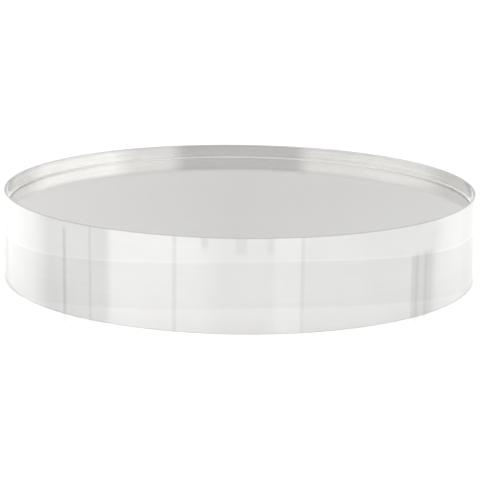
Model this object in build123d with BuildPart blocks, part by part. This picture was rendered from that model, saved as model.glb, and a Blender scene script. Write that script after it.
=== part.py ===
"""Round dresser tray: a polished steel band around a mirror that lies just below its lip.

The band is a rolled strip. Two rolled angle rings are welded inside it: the upper one carries
the board under the mirror, the lower one carries the panel that closes the underside.
Origin: centre of the underside, on the surface the feet stand on. +Z is up.
"""

from build123d import *
import os

# Driving dimensions, millimetres
tray_diameter = 304.8  # outside of the band
tray_height = 57.15  # from the surface under the feet to the lip
recess_depth = 9.0  # from the lip down to the mirror's face
band_thickness = 1.2
lip_radius = 0.5  # softened edges of the lip
foot_clearance = 0.1  # daylight under the band
band_edge_break = 0.1  # lower edges of the strip

# Mirror and the board that backs it
mirror_thickness = 3.0
mirror_gap = 0.5  # all round, filled by the edge seal
face_arris = 0.8  # ground and polished edge round the face
back_arris = 0.3
pad_diameter = 25.0
pad_thickness = 1.0
pad_circle_radius = 95.0
pad_count = 6  # plus one in the middle
board_thickness = 9.0
board_gap = 0.7

# Angle rings
angle_width = 12.0  # both legs
angle_thickness = 1.5
angle_bend_radius = 2.0

# Underside
panel_thickness = 3.0
panel_recess = 1.6  # from the band's lower edge up to the panel
panel_gap = 0.7
foot_diameter = 18.0
foot_circle_radius = 124.0
foot_count = 4
foot_edge_radius = 0.8

# Screws
screw_count = 6
screw_circle_inset = 7.0  # from the band's inner face to the screw circle
board_screw_radius = 2.0
board_screw_hole_radius = 2.25
board_screw_length = 8.0
pan_head_radius = 4.0
pan_head_height = 2.6
pan_head_rounding = 1.0
recess_radius = 1.6  # driver recess in both heads
recess_sink = 1.4
panel_screw_radius = 1.75
panel_screw_length = 10.0
countersunk_radius = 3.4

# Levels and radii that follow
outer_radius = tray_diameter / 2
inner_radius = outer_radius - band_thickness
band_bottom = foot_clearance
mirror_top = tray_height - recess_depth
mirror_bottom = mirror_top - mirror_thickness
board_top = mirror_bottom - pad_thickness
board_bottom = board_top - board_thickness
head_seat = board_bottom - angle_thickness
panel_bottom = band_bottom + panel_recess
panel_top = panel_bottom + panel_thickness
screw_circle_radius = inner_radius - screw_circle_inset
mirror_radius = inner_radius - mirror_gap
board_radius = inner_radius - board_gap
panel_radius = inner_radius - panel_gap

os.makedirs("parts", exist_ok=True)


def finish(piece, name):
    """Label a finished piece and write its STEP file."""
    piece.part.label = name
    export_step(piece.part, f"parts/{name}.step")


def angle_ring(shelf, leg, hole_radius):
    """A rolled angle against the band, its shelf level at one height and drilled for the screws.

    leg is the way the upright leg runs from the shelf: 1 up, -1 down."""
    tip = inner_radius - angle_width
    inside = inner_radius - angle_thickness
    with BuildPart() as ring:
        with BuildSketch(Plane.XZ):
            with BuildLine():
                Polyline(
                    (inner_radius, shelf),
                    (tip, shelf),
                    (tip, shelf + leg * angle_thickness),
                    (inside, shelf + leg * angle_thickness),
                    (inside, shelf + leg * angle_width),
                    (inner_radius, shelf + leg * angle_width),
                    close=True,
                )
            make_face()
            against_band = vertices().group_by(Axis.X)[-1].sort_by(Axis.Y)
            heel = against_band[0] if leg > 0 else against_band[-1]
            fillet(heel, radius=angle_bend_radius)
        revolve(axis=Axis.Z)
        with Locations((0, 0, max(shelf, shelf + leg * angle_thickness))):
            with PolarLocations(screw_circle_radius, screw_count):
                Hole(hole_radius, depth=angle_thickness)
    return ring


# Outer band: a strip rolled to a ring, its seam welded and polished out
with BuildPart() as outer_band:
    with BuildSketch(Plane.XY.offset(band_bottom)):
        Circle(outer_radius)
        Circle(inner_radius, mode=Mode.SUBTRACT)
    extrude(amount=tray_height - band_bottom)
    fillet(outer_band.edges().group_by(Axis.Z)[-1], radius=lip_radius)
    chamfer(outer_band.edges().group_by(Axis.Z)[0], length=band_edge_break)
finish(outer_band, "outer_band")


# Support ring: its shelf uppermost under the mirror board, the leg welded to the band
support_ring = angle_ring(board_bottom, -1, board_screw_hole_radius)
finish(support_ring, "support_ring")


# Mirror board: the disc under the glass, screwed down to the support ring
with BuildPart() as mirror_board:
    with BuildSketch(Plane.XY.offset(board_bottom)):
        Circle(board_radius)
    extrude(amount=board_thickness)
    with BuildSketch(Plane.XY.offset(board_bottom)):
        with PolarLocations(screw_circle_radius, screw_count):
            Circle(board_screw_radius)
    extrude(amount=board_screw_length - angle_thickness, mode=Mode.SUBTRACT)
finish(mirror_board, "mirror_board")


# Mounting pads: foam discs, sticky on both faces, between board and glass
with BuildPart() as mirror_pads:
    with BuildSketch(Plane.XY.offset(board_top)):
        Circle(pad_diameter / 2)
        with PolarLocations(pad_circle_radius, pad_count):
            Circle(pad_diameter / 2)
    extrude(amount=pad_thickness)
finish(mirror_pads, "mirror_pads")


# Mirror: silvered glass with both edges ground
with BuildPart() as mirror_glass:
    with BuildSketch(Plane.XZ):
        with BuildLine():
            Polyline(
                (0, mirror_bottom),
                (mirror_radius - back_arris, mirror_bottom),
                (mirror_radius, mirror_bottom + back_arris),
                (mirror_radius, mirror_top - face_arris),
                (mirror_radius - face_arris, mirror_top),
                (0, mirror_top),
                close=True,
            )
        make_face()
    revolve(axis=Axis.Z)
finish(mirror_glass, "mirror_glass")


# Edge seal: silicone that fills the gap round the glass, up to its ground face edge
with BuildPart() as edge_seal:
    with BuildSketch(Plane.XY.offset(mirror_bottom)):
        Circle(inner_radius)
        Circle(mirror_radius, mode=Mode.SUBTRACT)
    extrude(amount=mirror_thickness - face_arris)
finish(edge_seal, "edge_seal")


# Board screws: pan heads under the support ring's shelf, threads up in the board
with BuildPart() as board_screws:
    with BuildSketch(Plane.XY.offset(head_seat)):
        with PolarLocations(screw_circle_radius, screw_count):
            Circle(board_screw_radius)
    extrude(amount=board_screw_length)
    with BuildSketch(Plane.XY.offset(head_seat)):
        with PolarLocations(screw_circle_radius, screw_count):
            Circle(pan_head_radius)
    extrude(amount=-pan_head_height)
    fillet(board_screws.edges().group_by(Axis.Z)[0], radius=pan_head_rounding)
    with BuildSketch(Plane.XY.offset(head_seat - pan_head_height)):
        with PolarLocations(screw_circle_radius, screw_count):
            RegularPolygon(recess_radius, side_count=6)
    extrude(amount=recess_sink, mode=Mode.SUBTRACT)
finish(board_screws, "board_screws")


# Base ring: the same angle turned over, its shelf down for the panel
base_ring = angle_ring(panel_top, 1, panel_screw_radius)
finish(base_ring, "base_ring")


# Base panel: the thin disc that closes the underside
with BuildPart() as base_panel:
    with BuildSketch(Plane.XY.offset(panel_bottom)):
        Circle(panel_radius)
    extrude(amount=panel_thickness)
    with Locations(Plane.XY.offset(panel_bottom).reverse()):
        with PolarLocations(screw_circle_radius, screw_count):
            CounterSinkHole(
                radius=panel_screw_radius,
                counter_sink_radius=countersunk_radius,
                depth=panel_thickness,
                counter_sink_angle=90,
            )
finish(base_panel, "base_panel")


# Panel screws: countersunk heads flush with the panel, threads in the base ring
with BuildPart() as panel_screws:
    with BuildSketch(Plane.XY.offset(panel_bottom)):
        with PolarLocations(screw_circle_radius, screw_count):
            Circle(panel_screw_radius)
    extrude(amount=panel_screw_length)
    with Locations((0, 0, panel_bottom + (countersunk_radius - panel_screw_radius) / 2)):
        with PolarLocations(screw_circle_radius, screw_count):
            Cone(
                bottom_radius=countersunk_radius,
                top_radius=panel_screw_radius,
                height=countersunk_radius - panel_screw_radius,
            )
    with BuildSketch(Plane.XY.offset(panel_bottom)):
        with PolarLocations(screw_circle_radius, screw_count):
            RegularPolygon(recess_radius, side_count=6)
    extrude(amount=recess_sink, mode=Mode.SUBTRACT)
finish(panel_screws, "panel_screws")


# Feet: soft bumpers stuck to the panel
with BuildPart() as feet:
    with BuildSketch():
        with PolarLocations(foot_circle_radius, foot_count, start_angle=45):
            Circle(foot_diameter / 2)
    extrude(amount=panel_bottom)
    fillet(feet.edges().group_by(Axis.Z)[0], radius=foot_edge_radius)
finish(feet, "feet")
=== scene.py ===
"""The looks of the round dresser tray: a polished steel band around a mirror.

Everything is in metres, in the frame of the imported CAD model. The band, the mirror and the seal
are turned again here with finer profiles; every other CAD piece keeps its shape.
"""

import math

import bpy
from mathutils import Matrix, Vector

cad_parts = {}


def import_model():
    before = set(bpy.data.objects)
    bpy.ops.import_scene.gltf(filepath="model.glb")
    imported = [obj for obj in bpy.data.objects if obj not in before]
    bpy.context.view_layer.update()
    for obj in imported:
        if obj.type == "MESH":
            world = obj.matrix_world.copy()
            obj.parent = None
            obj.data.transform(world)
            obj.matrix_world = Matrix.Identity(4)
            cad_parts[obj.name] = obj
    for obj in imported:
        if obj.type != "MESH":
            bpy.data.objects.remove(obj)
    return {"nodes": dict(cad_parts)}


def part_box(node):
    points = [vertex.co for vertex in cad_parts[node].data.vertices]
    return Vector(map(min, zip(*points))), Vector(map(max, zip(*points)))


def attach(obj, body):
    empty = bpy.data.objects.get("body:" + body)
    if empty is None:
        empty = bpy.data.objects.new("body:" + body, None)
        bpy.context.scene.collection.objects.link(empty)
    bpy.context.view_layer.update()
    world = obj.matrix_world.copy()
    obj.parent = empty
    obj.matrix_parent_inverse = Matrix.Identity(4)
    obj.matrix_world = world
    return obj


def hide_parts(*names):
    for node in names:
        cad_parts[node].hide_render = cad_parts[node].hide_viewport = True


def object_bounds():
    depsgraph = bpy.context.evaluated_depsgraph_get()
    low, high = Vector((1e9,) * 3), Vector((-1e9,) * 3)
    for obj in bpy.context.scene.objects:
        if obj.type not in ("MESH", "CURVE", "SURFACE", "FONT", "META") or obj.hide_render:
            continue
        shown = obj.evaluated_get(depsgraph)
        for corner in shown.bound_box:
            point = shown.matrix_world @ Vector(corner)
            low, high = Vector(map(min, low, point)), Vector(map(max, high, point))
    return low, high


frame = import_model()
cad_low, cad_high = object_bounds()

MM = 0.001
SEGMENTS = 720  # around each turned piece
SHARP = math.radians(35)  # edges of turned pieces that are steeper than this stay sharp

band_low, band_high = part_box("outer_band")
glass_low, glass_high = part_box("mirror_glass")
TRAY_RADIUS = round((band_high.x - band_low.x) / 2, 5)
LIP = band_high.z  # height of the lip
GLASS_RADIUS = round(glass_high.x, 4)


# ---------------------------------------------------------------- node helpers


class Shader:
    """A material or world node tree, with short ways to add and join its nodes."""

    def __init__(self, owner):
        owner.use_nodes = True
        self.tree = owner.node_tree
        self.tree.nodes.clear()

    def add(self, kind, inputs=None, **settings):
        """One node; inputs maps a socket's name to a number, a colour or another node's socket."""
        node = self.tree.nodes.new("ShaderNode" + kind)
        for key, value in settings.items():
            setattr(node, key, value)
        for key, value in (inputs or {}).items():
            if isinstance(value, bpy.types.NodeSocket):
                self.tree.links.new(value, node.inputs[key])
            else:
                node.inputs[key].default_value = value
        return node

    def math(self, operation, *values):
        """The result of one arithmetic node."""
        inputs = dict(enumerate(values))
        return self.add("Math", inputs, operation=operation).outputs[0]

    def noise(self, vector, scale, detail, roughness=0.5):
        """The grey value of a noise texture."""
        inputs = {"Vector": vector, "Scale": scale, "Detail": detail, "Roughness": roughness}
        return self.add("TexNoise", inputs).outputs["Fac"]

    def spread(self, value, low, high):
        """Maps a value that runs from 0 to 1 onto low to high."""
        inputs = {"Value": value, "To Min": low, "To Max": high}
        return self.add("MapRange", inputs).outputs["Result"]

    def ramp(self, value, stops):
        """A colour ramp from (position, colour) pairs."""
        node = self.add("ValToRGB", {"Fac": value})
        elements = node.color_ramp.elements
        while len(elements) < len(stops):
            elements.new(0.5)
        for element, (position, colour) in zip(elements, stops):
            element.position = position
            element.color = (*colour, 1.0)
        return node.outputs["Color"]

    def place(self):
        """The point being shaded, in the object's own metres."""
        return self.add("TexCoord").outputs["Object"]

    def around(self):
        """The point as (arc length round the tray, height, radius), for marks that run round it."""
        parts = self.add("SeparateXYZ", {"Vector": self.place()}).outputs
        angle = self.math("ARCTAN2", parts["X"], parts["Y"])
        arc = self.math("MULTIPLY", angle, TRAY_RADIUS)
        across = self.add("CombineXYZ", {"X": parts["X"], "Y": parts["Y"]}).outputs[0]
        radius = self.add("VectorMath", {0: across}, operation="LENGTH").outputs["Value"]
        return arc, parts["Z"], radius

    def streaks(self, along, upward, detail):
        """Noise with its own scale along the way round the tray and up it."""
        arc, height, _ = self.around()
        x, y = self.math("MULTIPLY", arc, along), self.math("MULTIPLY", height, upward)
        return self.noise(self.add("CombineXYZ", {"X": x, "Y": y}).outputs[0], 1.0, detail)

    def bump(self, height, distance, normal=None):
        """A normal that follows a height; distance is how far it moves the surface."""
        inputs = {"Height": height, "Distance": distance}
        if normal is not None:
            inputs["Normal"] = normal
        return self.add("Bump", inputs).outputs["Normal"]

    def surface(self, **inputs):
        """A Principled surface, joined to the output; keywords use _ for a space in a name."""
        named = {key.replace("_", " "): value for key, value in inputs.items()}
        shader = self.add("BsdfPrincipled", named)
        self.add("OutputMaterial", {"Surface": shader.outputs[0]})


def material(name):
    """A new material and the Shader that fills it."""
    made = bpy.data.materials.new(name)
    return made, Shader(made)


# ------------------------------------------------------------------- materials


def polished_steel(name, line_depth):
    """Mirror-polished stainless strip with a slight roll wave.

    line_depth is how far the rolling lines round it still show, from 0 to 1."""
    made, s = material(name)
    grain = s.streaks(4.0, 420.0, 3.0)
    lines = s.math("MULTIPLY", s.spread(grain, -1.0, 1.0), line_depth)
    wave = s.streaks(14.0, 22.0, 1.0)
    smudge = s.noise(s.place(), 30.0, 4.0)
    smudge_share = 0.25
    line_share = 0.5
    line_roughness = 0.2
    base = 0.5 * (1.0 - smudge_share)  # a middling smudge with no line takes the middle tone
    lined = s.math("ADD", s.math("MULTIPLY", lines, line_share), base)
    tone = s.math("MULTIPLY_ADD", smudge, smudge_share, lined)
    normal = s.bump(wave, 0.03 * MM)
    normal = s.bump(grain, 0.002 * MM, normal=normal)
    polish = s.spread(smudge, 0.025, 0.06)
    s.surface(
        Base_Color=s.ramp(tone, [(0.0, (0.487, 0.484, 0.476)), (1.0, (0.797, 0.793, 0.786))]),
        Metallic=1.0,
        Roughness=s.math("MULTIPLY_ADD", s.math("ABSOLUTE", lines), line_roughness, polish),
        Normal=normal,
    )
    return made


def mirror_glass():
    """The clear body of the mirror, with the faintest wipe marks on its face."""
    made, s = material("mirror_glass")
    wipes = s.noise(s.place(), 24.0, 3.0)
    s.surface(
        Base_Color=(1.0, 0.996, 0.990, 1.0),
        Roughness=s.spread(wipes, 0.0, 0.012),
        IOR=1.52,
        Transmission_Weight=1.0,
    )
    return made


def silvering():
    """The silver on the back of the glass, seen through it."""
    made, s = material("silvering")
    bloom = s.noise(s.place(), 9.0, 2.0)
    s.surface(
        Base_Color=s.ramp(bloom, [(0.3, (0.884, 0.878, 0.868)), (0.7, (0.904, 0.898, 0.888))]),
        Metallic=1.0,
        Roughness=s.spread(bloom, 0.0, 0.01),
    )
    return made


def ground_edge():
    """The belt-ground arrises of the glass: matt, pale and grainy."""
    made, s = material("ground_edge")
    grain = s.streaks(2000.0, 400.0, 3.0)
    s.surface(
        Base_Color=s.ramp(grain, [(0.3, (0.93, 0.935, 0.92)), (0.7, (0.98, 0.985, 0.97))]),
        Roughness=s.spread(grain, 0.5, 0.7),
        Normal=s.bump(grain, 0.02 * MM),
    )
    return made


def silicone():
    """Translucent white sealant, slightly uneven where it was wiped."""
    made, s = material("silicone")
    wiped = s.noise(s.place(), 180.0, 2.0)
    s.surface(
        Base_Color=s.ramp(wiped, [(0.3, (0.78, 0.78, 0.77)), (0.7, (0.86, 0.86, 0.85))]),
        Roughness=s.spread(wiped, 0.25, 0.4),
        Normal=s.bump(wiped, 0.05 * MM),
    )
    return made


def fibreboard():
    """Medium-density fibreboard: matted short fibres, darker flecks."""
    made, s = material("fibreboard")
    fibres = s.noise(s.place(), 900.0, 6.0, 0.7)
    cloud = s.noise(s.place(), 40.0, 3.0)
    tone = s.math("ADD", s.math("MULTIPLY", fibres, 0.7), s.math("MULTIPLY", cloud, 0.3))
    s.surface(
        Base_Color=s.ramp(tone, [(0.35, (0.36, 0.25, 0.155)), (0.65, (0.52, 0.39, 0.26))]),
        Roughness=s.spread(fibres, 0.7, 0.9),
        Normal=s.bump(fibres, 0.05 * MM),
    )
    return made


def foam():
    """White closed-cell foam."""
    made, s = material("foam_pad")
    cells = s.add("TexVoronoi", {"Vector": s.place(), "Scale": 1600.0}).outputs["Distance"]
    s.surface(
        Base_Color=s.ramp(cells, [(0.0, (0.70, 0.70, 0.67)), (0.6, (0.86, 0.86, 0.84))]),
        Roughness=s.spread(cells, 0.7, 0.85),
        Normal=s.bump(cells, 0.1 * MM),
    )
    return made


def ring_steel():
    """Mill-finish rolled angle: streaks round it and patches of scale."""
    made, s = material("ring_steel")
    arc, height, radius = s.around()
    along = s.math("MULTIPLY", arc, 12.0)
    across = s.math("MULTIPLY", s.math("ADD", height, radius), 1500.0)
    drawn = s.add("CombineXYZ", {"X": along, "Y": across}).outputs[0]
    streaks = s.noise(drawn, 1.0, 4.0)
    scale = s.noise(s.place(), 60.0, 5.0)
    s.surface(
        Base_Color=s.ramp(scale, [(0.35, (0.40, 0.41, 0.42)), (0.65, (0.56, 0.57, 0.58))]),
        Metallic=1.0,
        Roughness=s.spread(streaks, 0.28, 0.5),
        Normal=s.bump(streaks, 0.01 * MM),
    )
    return made


def zinc():
    """Bright zinc-plated screws."""
    made, s = material("screw_steel")
    grain = s.noise(s.place(), 1200.0, 3.0)
    tint = s.noise(s.place(), 260.0, 2.0)
    s.surface(
        Base_Color=s.ramp(tint, [(0.35, (0.55, 0.56, 0.57)), (0.65, (0.68, 0.68, 0.65))]),
        Metallic=1.0,
        Roughness=s.spread(grain, 0.22, 0.4),
        Normal=s.bump(grain, 0.01 * MM),
    )
    return made


def hardboard():
    """Black-painted hardboard: a fine pebbled skin with faint rub marks."""
    made, s = material("hardboard")
    pebbles = s.noise(s.place(), 1100.0, 3.0)
    rubs = s.noise(s.place(), 25.0, 5.0, 0.65)
    s.surface(
        Base_Color=s.ramp(rubs, [(0.35, (0.020, 0.019, 0.018)), (0.7, (0.042, 0.040, 0.038))]),
        Roughness=s.spread(rubs, 0.5, 0.7),
        Normal=s.bump(pebbles, 0.06 * MM),
    )
    return made


def bumper():
    """Frosted clear polyurethane."""
    made, s = material("foot_rubber")
    frost = s.noise(s.place(), 700.0, 2.0)
    s.surface(
        Base_Color=s.ramp(frost, [(0.3, (0.74, 0.74, 0.72)), (0.7, (0.82, 0.82, 0.81))]),
        Roughness=s.spread(frost, 0.32, 0.45),
        Transmission_Weight=0.6,
        IOR=1.49,
        Normal=s.bump(frost, 0.02 * MM),
    )
    return made


def dress(node, made):
    """Gives a CAD node's own mesh a material."""
    slots = frame["nodes"][node].data.materials
    slots.clear()
    slots.append(made)


# ---------------------------------------------------------------------- pieces


def rounding(centre, radius, start, end, steps=8):
    """Points of one rounded corner in the profile plane, angles in degrees."""
    angles = [math.radians(start + (end - start) * i / steps) for i in range(steps + 1)]
    return [(centre[0] + radius * math.cos(a), centre[1] + radius * math.sin(a)) for a in angles]


def circle(radius):
    """Points round a circle about Z, as (x, y)."""
    angles = [2 * math.pi * i / SEGMENTS for i in range(SEGMENTS)]
    return [(radius * math.cos(a), radius * math.sin(a)) for a in angles]


def shaped(name, points, faces, made):
    """A mesh piece with its materials, in the scene."""
    mesh = bpy.data.meshes.new(name)
    mesh.from_pydata(points, [], faces)
    for each in made:
        mesh.materials.append(each)
    piece = bpy.data.objects.new(name, mesh)
    bpy.context.scene.collection.objects.link(piece)
    return piece


def turned(name, profile, made, slot_of=None):
    """A solid of revolution about Z from a closed profile of (radius, height) points.

    slot_of gives the material number of each profile edge that doesn't take the first."""
    slot_of = slot_of or {}
    points, painted_light_rings = [], []
    for radius, height in profile:
        ring = circle(radius) if radius > 0 else [(0.0, 0.0)]
        painted_light_rings.append(range(len(points), len(points) + len(ring)))
        points += [(x, y, height) for x, y in ring]
    faces, slots = [], []
    for edge, (low, high) in enumerate(zip(painted_light_rings, painted_light_rings[1:] + painted_light_rings[:1])):
        if len(low) == 1 and len(high) == 1:
            continue
        for i in range(SEGMENTS):
            j = (i + 1) % SEGMENTS
            quad = [low[i % len(low)], low[j % len(low)], high[j % len(high)], high[i % len(high)]]
            faces.append(list(dict.fromkeys(quad)))
            slots.append(slot_of.get(edge, 0))
    piece = shaped(name, points, faces, made)
    piece.data.polygons.foreach_set("material_index", slots)
    piece.data.shade_smooth()
    piece.data.set_sharp_from_angle(angle=SHARP)
    return piece


def outer_band():
    """The band: straight walls, a softened lip, a small broken edge at its foot."""
    outer = TRAY_RADIUS
    wall = 1.2 * MM
    inner = outer - wall
    lip = 0.5 * MM
    guard = 0.12 * MM  # keeps the roundings' shading off the walls
    foot = cad_low.z + 0.02 * MM  # closes the slit over the floor that the feet leave
    edge = 0.05 * MM
    profile = [(outer - edge, foot), (outer, foot + edge), (outer, foot + edge + guard)]
    profile += [(outer, LIP - lip - guard)]
    profile += rounding((outer - lip, LIP - lip), lip, 0, 90)
    profile += rounding((inner + lip, LIP - lip), lip, 90, 180)
    profile += [(inner, LIP - lip - guard)]
    profile += [(inner, foot + edge + guard), (inner, foot + edge), (inner + edge, foot)]
    outside = polished_steel("polished_steel", 0.1)
    inside = polished_steel("polished_steel_inside", 0.8)
    inside_wall = profile.index((inner, LIP - lip - guard))
    piece = turned("outer_band_polished", profile, [outside, inside], {inside_wall: 1})
    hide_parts("outer_band")
    return piece


def mirror():
    """The mirror: a clear disc with a polished edge and ground arrises, silvered underneath."""
    clear = 0.02 * MM  # keeps the glass off the seal round it
    radius = GLASS_RADIUS - clear
    back_arris = 0.3 * MM
    face_arris = 0.8 * MM
    coat = 0.05 * MM  # silver and paint, between the glass and the pads
    low, top = glass_low.z + coat, glass_high.z
    profile = [
        (0.0, low),
        (radius - back_arris, low),
        (radius, low + back_arris),
        (radius, top - face_arris),
        (radius - face_arris, top),
        (0.0, top),
    ]
    made = [mirror_glass(), silvering(), ground_edge()]
    back, back_ground, face_ground = 0, 1, 3  # edges of the profile that aren't clear
    slot_of = {back: 1, back_ground: 2, face_ground: 2}
    piece = turned("mirror_silvered", profile, made, slot_of)
    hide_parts("mirror_glass")
    return piece


def seal():
    """The silicone round the glass, its top drawn down to a hollow by the fingertip."""
    low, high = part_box("edge_seal")
    inner, outer = GLASS_RADIUS, high.x
    hollow = 0.15 * MM
    steps = 6
    profile = [(inner, low.z), (outer, low.z)]
    for i in range(steps + 1):
        share = i / steps
        dip = hollow * math.sin(math.pi * share)
        profile.append((outer - share * (outer - inner), high.z - dip))
    piece = turned("edge_seal_bead", profile, [silicone()])
    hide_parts("edge_seal")
    return piece


for piece in (outer_band(), mirror(), seal()):
    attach(piece, "root")

dress("mirror_board", fibreboard())
dress("mirror_pads", foam())
steel = ring_steel()
dress("support_ring", steel)
dress("base_ring", steel)
plated = zinc()
dress("board_screws", plated)
dress("panel_screws", plated)
dress("base_panel", hardboard())
dress("feet", bumper())


# ------------------------------------------------------------- floor and light


def sheet(name, centre, radius, height, made):
    """A level round studio sheet, cut away under the tray so that the underside gets light."""
    opening = 0.96 * TRAY_RADIUS
    points = []
    for middle, reach in ((Vector(), opening), (centre, radius)):
        points += [(middle.x + x, middle.y + y, height) for x, y in circle(reach)]
    faces = []
    for i in range(SEGMENTS):
        j = (i + 1) % SEGMENTS
        faces.append((i, i + SEGMENTS, j + SEGMENTS, j))
    piece = shaped(name, points, faces, [made])


def gloss_white(name, tones, centre, reach):
    """Pale gloss surface, clear from below; tones are (share of the reach, grey) outwards."""
    made, s = material(name)
    offset = s.add("VectorMath", {0: s.place(), 1: centre}, operation="SUBTRACT").outputs[0]
    distance = s.add("VectorMath", {0: offset}, operation="LENGTH").outputs["Value"]
    stops = [(share, (grey,) * 3) for share, grey in tones]
    colour = s.ramp(s.math("DIVIDE", distance, reach), stops)
    gloss = s.add("BsdfPrincipled", {"Base Color": colour, "Roughness": 0.03, "IOR": 1.5}).outputs[0]
    clear = s.add("BsdfTransparent").outputs[0]
    below = s.add("NewGeometry").outputs["Backfacing"]
    mixed = s.add("MixShader", {0: below, 1: gloss, 2: clear}).outputs[0]
    s.add("OutputMaterial", {"Surface": mixed})
    return made


def floor():
    """A white turntable with painted light in its grey: a paler middle painted as a pool of light
    and a pale rim painted as a thin highlight line, on a white surface that runs on.
    """
    centre = Vector((0.05, -0.45, 0.0)) * TRAY_RADIUS
    reach = 1.73 * TRAY_RADIUS
    # painted light and shade: the paler middle is a painted pool of light near the tray, the pale
    # outer rim a painted highlight line
    painted_light_rings = [(0.0, 0.82), (0.525, 0.82), (0.54, 0.77), (0.985, 0.77), (0.99, 0.90), (1.0, 0.90)]
    table = gloss_white("studio_turntable", painted_light_rings, centre, reach)
    sheet("studio_turntable", centre, reach, 0.0, table)
    far = 60 * TRAY_RADIUS
    drop = 0.2 * MM  # keeps it clear of the turntable
    beyond = [(0.0, 0.82), (0.04, 0.82), (0.10, 0.84)]
    surface = gloss_white("studio_floor", beyond, centre, far)
    sheet("studio_floor", centre, far, -drop, surface)


# Light levels all round, as (bearing, level): 0 is the camera's own, 90 is to its right.
# HORIZON is the studio from the lip up; SCREEN is a low screen that stands round the turntable.
HORIZON = [
    (-180, 0.74),
    (-172, 0.86),
    (-152, 0.98),
    (-128, 1.06),
    (-108, 1.30),
    (-88, 1.37),
    (-37, 1.30),
    (-29, 0.92),
    (29, 0.92),
    (37, 1.28),
    (58, 1.36),
    (70, 1.64),
    (118, 1.62),
    (135, 1.24),
    (152, 1.12),
    (174, 0.79),
    (180, 0.74),
]
SCREEN = [
    (-180, 0.70),
    (-140, 0.70),
    (-130, 1.55),
    (-126, 1.58),
    (-112, 1.62),
    (-102, 1.50),
    (-95, 1.12),
    (-88, 0.62),
    (-55.3, 0.74),
    (-52.3, 1.50),
    (-27, 1.43),
    (-15, 1.28),
    (-6, 0.97),
    (12.5, 0.95),
    (15, 1.25),
    (24.5, 1.22),
    (26, 1.00),
    (49, 0.99),
    (50.5, 0.95),
    (74, 0.95),
    (91, 0.96),
    (94, 1.15),
    (98, 1.38),
    (115, 1.45),
    (122, 1.15),
    (138, 0.80),
    (148, 0.70),
    (180, 0.70),
]
# Things in front of the screen: (bearing, width in degrees, level, foot and top in millimetres).
STANDS = [
    (-77.4, 2.0, 0.02, 25, 105),
    (-62.9, 1.2, 0.25, 17, 105),
    (-25.1, 1.6, 0.90, 0, 105),
    (-13.2, 2.6, 0.74, 0, 23),
    (0.8, 4.4, 0.62, 0, 26),
    (12.0, 2.6, 0.70, 0, 26),
    (24.8, 1.6, 0.72, 0, 105),
    (77.4, 2.4, 0.38, 44, 105),
    (79.7, 2.2, 0.10, 44, 105),
    (82.6, 3.6, 0.52, 44, 105),
    (85.6, 2.4, 0.16, 44, 105),
    (88.4, 3.2, 0.44, 44, 105),
    (91.0, 2.0, 0.80, 44, 105),
]
UPPER = 0.88  # the studio above the panels
PANEL_TOP = (0.229, 0.25)  # height of a direction, 0 level and 1 straight up, where panels fade out
SCREEN_RADIUS = 3.1 * TRAY_RADIUS
SCREEN_TOP = 105 * MM
STAND_RADIUS = 0.98 * SCREEN_RADIUS
GLOW = (1.0, 0.998, 0.99, 1.0)  # colour of the studio, the screen and the stands


def levels(s, east, south, stops):
    """The light level for a direction, read from a list of (bearing, level)."""
    bearing = s.math("ARCTAN2", east, south)
    turn = s.math("MULTIPLY_ADD", bearing, 0.5 / math.pi, 0.5)  # 0 and 1 are straight behind
    halves = [(0.5 + degrees / 360.0, (level / 2,) * 3) for degrees, level in stops]
    return s.math("MULTIPLY", s.ramp(turn, halves), 2.0)


def world():
    """Soft white surroundings: broad light panels to the sides, and plain white to the camera."""
    sky = bpy.data.worlds.new("studio")
    bpy.context.scene.world = sky
    s = Shader(sky)
    parts = s.add("SeparateXYZ", {"Vector": s.add("TexCoord").outputs["Generated"]}).outputs
    panels = levels(s, parts["X"], s.math("MULTIPLY", parts["Y"], -1.0), HORIZON)
    fade = {"Value": parts["Z"], "From Min": PANEL_TOP[0], "From Max": PANEL_TOP[1]}
    above = s.add("MapRange", fade, interpolation_type="SMOOTHSTEP").outputs["Result"]
    mixed = s.add("Mix", {0: above, 2: panels, 3: UPPER}, data_type="FLOAT").outputs[0]
    seen = s.add("LightPath").outputs["Is Camera Ray"]
    strength = s.add("Mix", {0: seen, 2: mixed, 3: 1.0}, data_type="FLOAT").outputs[0]
    light = s.add("Background", {"Color": GLOW, "Strength": strength})
    s.add("OutputWorld", {"Surface": light.outputs[0]})


def overhead():
    """A light straight above that whitens the floor and leaves reflections alone."""
    data = bpy.data.lights.new("overhead", "SUN")
    data.energy = 2.5
    data.angle = math.radians(3)  # narrow, so that the lip casts no grey rim on the floor
    piece = bpy.data.objects.new("overhead", data)
    piece.location.z = 2.0
    piece.visible_glossy = False
    piece.visible_transmission = False
    bpy.context.scene.collection.objects.link(piece)


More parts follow.
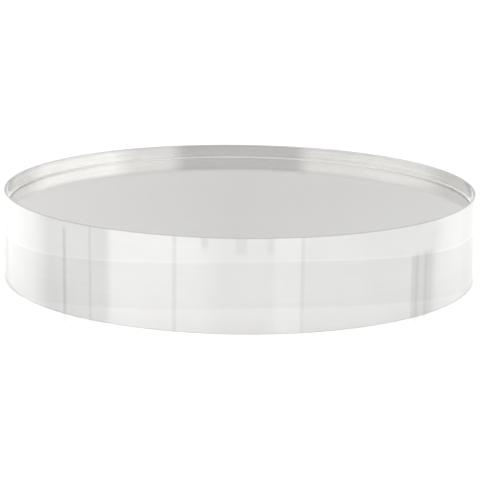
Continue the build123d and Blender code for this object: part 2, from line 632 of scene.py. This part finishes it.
def reflected_card(name, first, last, radius, low, high, strength_of):
    """An upright curved card between two bearings that shows only in reflections."""
    steps = max(2, round(abs(last - first)))  # one to a degree
    angles = [math.radians(first + (last - first) * i / steps) for i in range(steps + 1)]
    foot = [(radius * math.sin(a), -radius * math.cos(a), low) for a in angles]
    top = [(x, y, high) for x, y, _ in foot]
    faces = [(i, i + 1, i + 2 + steps, i + 1 + steps) for i in range(steps)]
    made, s = material(name)
    glow = s.add("Emission", {"Color": GLOW, "Strength": strength_of(s)})
    s.add("OutputMaterial", {"Surface": glow.outputs[0]})
    piece = shaped(name, foot + top, faces, [made])
    piece.visible_camera = False
    piece.visible_diffuse = False
    piece.visible_shadow = False


def screen():
    """The low screen and the stands, which the band sees by way of the gloss turntable."""

    def screen_level(s):
        parts = s.add("SeparateXYZ", {"Vector": s.place()}).outputs
        return levels(s, parts["X"], s.math("MULTIPLY", parts["Y"], -1.0), SCREEN)

    reflected_card("studio_screen", -180, 180, SCREEN_RADIUS, 0.0, SCREEN_TOP, screen_level)
    for i, (bearing, width, level, foot, top) in enumerate(STANDS):
        sides = bearing - width / 2, bearing + width / 2
        name = f"studio_stand_{i}"
        reflected_card(name, *sides, STAND_RADIUS, foot * MM, top * MM, lambda s: level)


def camera():
    """Eight radii from the lip's centre and a little above it, upright but for a slight roll."""
    distance = 8.0 * TRAY_RADIUS
    elevation = math.radians(11.34)
    roll = math.radians(0.69)
    lip_centre = Vector((0, 0, LIP))
    aim = lip_centre + Vector((0.003, 0, -0.2383)) * TRAY_RADIUS
    data = bpy.data.cameras.new("camera")
    data.lens = 140.4
    data.sensor_width = 36.0
    piece = bpy.data.objects.new("camera", data)
    bpy.context.scene.collection.objects.link(piece)
    piece.location = lip_centre + distance * Vector((0, -math.cos(elevation), math.sin(elevation)))
    look = (aim - piece.location).to_track_quat("-Z", "Y").to_matrix().to_4x4()
    piece.matrix_world = Matrix.Translation(piece.location) @ look @ Matrix.Rotation(roll, 4, "Z")
    bpy.context.scene.camera = piece


floor()
world()
overhead()
screen()
camera()

scene = bpy.context.scene
scene.view_settings.view_transform = "Standard"
